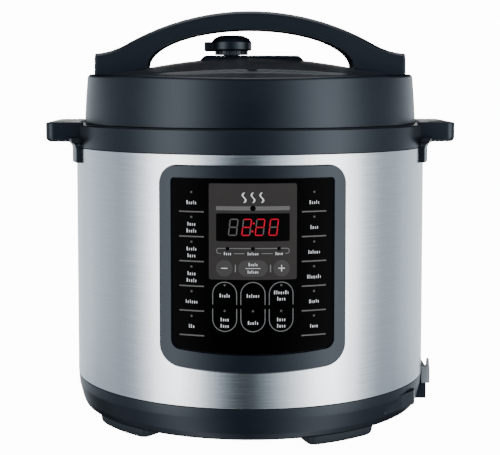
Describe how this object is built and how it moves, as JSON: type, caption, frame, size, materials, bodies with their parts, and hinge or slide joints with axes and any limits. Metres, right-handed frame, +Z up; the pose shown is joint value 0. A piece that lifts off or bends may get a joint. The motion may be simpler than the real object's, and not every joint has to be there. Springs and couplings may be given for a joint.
{
  "type": "electric pressure cooker",
  "caption": "Round countertop electric pressure cooker: brushed steel body, domed lid with an arched handle and steam valve, two side ears, curved front key panel.",
  "frame": {"origin": "on the table under the pot's vertical axis, at the middle of the feet", "axes": "+Z up, -Y towards the control panel at the front, +X to the right-hand ear and the mains inlet"},
  "size_m": [0.3128, 0.2806, 0.3116],
  "materials": {
    "dark_plastic": "satin moulded, blue-black",
    "black_plastic": "satin",
    "gloss_black": "gloss film",
    "key_plastic": "satin",
    "brushed_steel": "brushed round the pot",
    "polished_steel": "polished stainless steel",
    "zinc_steel": "zinc-plated sheet",
    "cast_aluminium": "cast and turned",
    "silicone": "matt translucent white",
    "clear_grey": "smoky translucent",
    "circuit_board": "solder mask",
    "foot_rubber": "matt",
    "spring_steel": "drawn wire",
    "lead_sleeve": "glass-fibre sleeve"
  },
  "bodies": {
    "housing": {"base_housing": "dark_plastic", "base_cover": "zinc_steel", "base_screw_1": "zinc_steel", "base_screw_2": "zinc_steel", "foot_front_left": "foot_rubber", "foot_front_right": "foot_rubber", "foot_rear_left": "foot_rubber", "foot_rear_right": "foot_rubber", "inlet_housing": "dark_plastic", "inlet_socket": "black_plastic", "outer_shell": "brushed_steel", "top_collar": "dark_plastic", "outer_pot": "polished_steel", "heating_plate": "cast_aluminium", "sensor_bracket": "zinc_steel", "sensor_spring": "spring_steel", "power_board": "circuit_board", "pressure_switch": "black_plastic", "thermal_fuse": "polished_steel", "mains_lead": "lead_sleeve", "panel_bezel": "dark_plastic", "panel_film": "gloss_black", "panel_carrier": "black_plastic", "display_module": "gloss_black", "control_board": "circuit_board"},
    "sensor": {"temperature_sensor": "cast_aluminium"},
    "cup": {"condensate_cup": "clear_grey"},
    "holder": {"spoon_holder": "clear_grey"},
    "seal": {"sealing_ring": "silicone"},
    "lid": {"lid_cover": "dark_plastic", "valve_pod": "dark_plastic", "lid_handle": "dark_plastic", "steel_lid": "polished_steel", "gasket_rack": "polished_steel", "exhaust_pipe": "polished_steel", "anti_block_shield": "polished_steel"},
    "steam_knob": {"steam_valve": "black_plastic"},
    "float_pin": {"float_valve": "polished_steel"},
    "pot": {"inner_pot": "polished_steel"},
    "key_left_first_cap": {"key_left_first": "key_plastic"},
    "key_left_second_cap": {"key_left_second": "key_plastic"},
    "key_left_third_cap": {"key_left_third": "key_plastic"},
    "key_left_fourth_cap": {"key_left_fourth": "key_plastic"},
    "key_left_fifth_cap": {"key_left_fifth": "key_plastic"},
    "key_left_sixth_cap": {"key_left_sixth": "key_plastic"},
    "key_right_first_cap": {"key_right_first": "key_plastic"},
    "key_right_second_cap": {"key_right_second": "key_plastic"},
    "key_right_third_cap": {"key_right_third": "key_plastic"},
    "key_right_fourth_cap": {"key_right_fourth": "key_plastic"},
    "key_right_fifth_cap": {"key_right_fifth": "key_plastic"},
    "key_right_sixth_cap": {"key_right_sixth": "key_plastic"},
    "key_upper_left_cap": {"key_upper_left": "key_plastic"},
    "key_upper_middle_cap": {"key_upper_middle": "key_plastic"},
    "key_upper_right_cap": {"key_upper_right": "key_plastic"},
    "key_lower_left_cap": {"key_lower_left": "key_plastic"},
    "key_lower_middle_cap": {"key_lower_middle": "key_plastic"},
    "key_lower_right_cap": {"key_lower_right": "key_plastic"},
    "key_minus_cap": {"key_minus": "key_plastic"},
    "key_plus_cap": {"key_plus": "key_plastic"},
    "key_hours_minutes_cap": {"key_hours_minutes": "key_plastic"}
  },
  "joints": [
    {"name": "lid_lift", "type": "slide", "parent": "housing", "child": "seal", "axis": [0, 0, 1], "range_m": [0, 0.25]},
    {"name": "lid_turn", "type": "hinge", "parent": "seal", "child": "lid", "pos_m": [0, 0, 0.24], "axis": [0, 0, 1], "range_deg": [-30, 0]},
    {"name": "steam_valve_turn", "type": "hinge", "parent": "lid", "child": "steam_knob", "pos_m": [-0.0146, 0, 0.28], "axis": [0, 0, 1], "range_deg": [0, 45]},
    {"name": "float_valve_rise", "type": "slide", "parent": "lid", "child": "float_pin", "axis": [0, 0, 1], "range_m": [0, 0.0035]},
    {"name": "pot_turn", "type": "hinge", "parent": "housing", "child": "pot", "pos_m": [0, 0, 0.05], "axis": [0, 0, 1], "continuous": true},
    {"name": "sensor_plunge", "type": "slide", "parent": "housing", "child": "sensor", "axis": [0, 0, 1], "range_m": [-0.003, 0], "stiffness_N_per_m": 400, "springref_m": 0.006, "deforming": ["sensor_spring"]},
    {"name": "cup_slide", "type": "slide", "parent": "housing", "child": "cup", "axis": [0, 1, 0], "range_m": [0, 0.05]},
    {"name": "holder_lift", "type": "slide", "parent": "housing", "child": "holder", "axis": [0, 0, 1], "range_m": [0, 0.03]},
    {"name": "key_left_first_press", "type": "slide", "parent": "housing", "child": "key_left_first_cap", "axis": [0, 1, 0], "range_m": [0, 0.0004], "stiffness_N_per_m": 1500, "springref_m": -0.0003},
    {"name": "key_left_second_press", "type": "slide", "parent": "housing", "child": "key_left_second_cap", "axis": [0, 1, 0], "range_m": [0, 0.0004], "stiffness_N_per_m": 1500, "springref_m": -0.0003},
    {"name": "key_left_third_press", "type": "slide", "parent": "housing", "child": "key_left_third_cap", "axis": [0, 1, 0], "range_m": [0, 0.0004], "stiffness_N_per_m": 1500, "springref_m": -0.0003},
    {"name": "key_left_fourth_press", "type": "slide", "parent": "housing", "child": "key_left_fourth_cap", "axis": [0, 1, 0], "range_m": [0, 0.0004], "stiffness_N_per_m": 1500, "springref_m": -0.0003},
    {"name": "key_left_fifth_press", "type": "slide", "parent": "housing", "child": "key_left_fifth_cap", "axis": [0, 1, 0], "range_m": [0, 0.0004], "stiffness_N_per_m": 1500, "springref_m": -0.0003},
    {"name": "key_left_sixth_press", "type": "slide", "parent": "housing", "child": "key_left_sixth_cap", "axis": [0, 1, 0], "range_m": [0, 0.0004], "stiffness_N_per_m": 1500, "springref_m": -0.0003},
    {"name": "key_right_first_press", "type": "slide", "parent": "housing", "child": "key_right_first_cap", "axis": [0, 1, 0], "range_m": [0, 0.0004], "stiffness_N_per_m": 1500, "springref_m": -0.0003},
    {"name": "key_right_second_press", "type": "slide", "parent": "housing", "child": "key_right_second_cap", "axis": [0, 1, 0], "range_m": [0, 0.0004], "stiffness_N_per_m": 1500, "springref_m": -0.0003},
    {"name": "key_right_third_press", "type": "slide", "parent": "housing", "child": "key_right_third_cap", "axis": [0, 1, 0], "range_m": [0, 0.0004], "stiffness_N_per_m": 1500, "springref_m": -0.0003},
    {"name": "key_right_fourth_press", "type": "slide", "parent": "housing", "child": "key_right_fourth_cap", "axis": [0, 1, 0], "range_m": [0, 0.0004], "stiffness_N_per_m": 1500, "springref_m": -0.0003},
    {"name": "key_right_fifth_press", "type": "slide", "parent": "housing", "child": "key_right_fifth_cap", "axis": [0, 1, 0], "range_m": [0, 0.0004], "stiffness_N_per_m": 1500, "springref_m": -0.0003},
    {"name": "key_right_sixth_press", "type": "slide", "parent": "housing", "child": "key_right_sixth_cap", "axis": [0, 1, 0], "range_m": [0, 0.0004], "stiffness_N_per_m": 1500, "springref_m": -0.0003},
    {"name": "key_upper_left_press", "type": "slide", "parent": "housing", "child": "key_upper_left_cap", "axis": [0, 1, 0], "range_m": [0, 0.0004], "stiffness_N_per_m": 1500, "springref_m": -0.0003},
    {"name": "key_upper_middle_press", "type": "slide", "parent": "housing", "child": "key_upper_middle_cap", "axis": [0, 1, 0], "range_m": [0, 0.0004], "stiffness_N_per_m": 1500, "springref_m": -0.0003},
    {"name": "key_upper_right_press", "type": "slide", "parent": "housing", "child": "key_upper_right_cap", "axis": [0, 1, 0], "range_m": [0, 0.0004], "stiffness_N_per_m": 1500, "springref_m": -0.0003},
    {"name": "key_lower_left_press", "type": "slide", "parent": "housing", "child": "key_lower_left_cap", "axis": [0, 1, 0], "range_m": [0, 0.0004], "stiffness_N_per_m": 1500, "springref_m": -0.0003},
    {"name": "key_lower_middle_press", "type": "slide", "parent": "housing", "child": "key_lower_middle_cap", "axis": [0, 1, 0], "range_m": [0, 0.0004], "stiffness_N_per_m": 1500, "springref_m": -0.0003},
    {"name": "key_lower_right_press", "type": "slide", "parent": "housing", "child": "key_lower_right_cap", "axis": [0, 1, 0], "range_m": [0, 0.0004], "stiffness_N_per_m": 1500, "springref_m": -0.0003},
    {"name": "key_minus_press", "type": "slide", "parent": "housing", "child": "key_minus_cap", "axis": [0, 1, 0], "range_m": [0, 0.0004], "stiffness_N_per_m": 1500, "springref_m": -0.0003},
    {"name": "key_plus_press", "type": "slide", "parent": "housing", "child": "key_plus_cap", "axis": [0, 1, 0], "range_m": [0, 0.0004], "stiffness_N_per_m": 1500, "springref_m": -0.0003},
    {"name": "key_hours_minutes_press", "type": "slide", "parent": "housing", "child": "key_hours_minutes_cap", "axis": [0, 1, 0], "range_m": [0, 0.0004], "stiffness_N_per_m": 1500, "springref_m": -0.0003}
  ]
}
